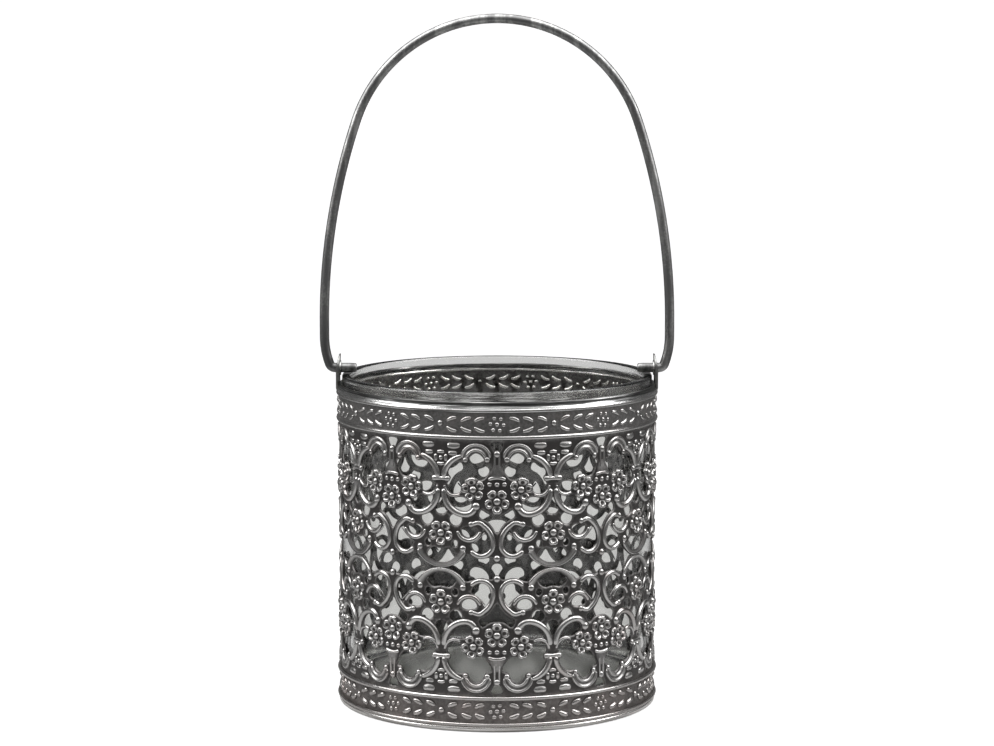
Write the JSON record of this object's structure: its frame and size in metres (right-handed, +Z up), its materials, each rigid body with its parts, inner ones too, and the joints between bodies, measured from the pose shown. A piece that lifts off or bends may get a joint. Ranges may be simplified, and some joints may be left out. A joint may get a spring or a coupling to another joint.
{
  "type": "tea light holder",
  "caption": "Round pierced metal sleeve with a glass cup inside for a tea light, on a foot ring, with a wire bail that swings in two ears at the rim.",
  "frame": {"origin": "centre of the foot, on the surface that the holder stands on", "axes": "+Z up; the bail swings about X; a motif of the pierced pattern faces -Y"},
  "size_m": [0.0892, 0.0808, 0.1727],
  "materials": {
    "antique_silver": "stamped sheet with dark patina in the recesses and polished raised edges",
    "rim_silver": "polished rolled edge with light scratches",
    "seat_metal": "dull",
    "ear_metal": "aged",
    "bail_wire": "dark gunmetal, satin",
    "clear_glass": "clear, slightly green at the base"
  },
  "bodies": {
    "sleeve": {"foot_ring": "antique_silver", "seat_ring": "seat_metal", "lower_gallery": "antique_silver", "upper_gallery": "antique_silver", "rim_ring": "rim_silver", "glass_cup": "clear_glass", "ear_left": "ear_metal", "ear_right": "ear_metal"},
    "bail": {"bail": "bail_wire"}
  },
  "joints": [
    {"name": "bail_swing", "type": "hinge", "parent": "sleeve", "child": "bail", "pos_m": [0, 0, 0.08425], "axis": [1, 0, 0], "range_deg": [-151, 151]}
  ]
}
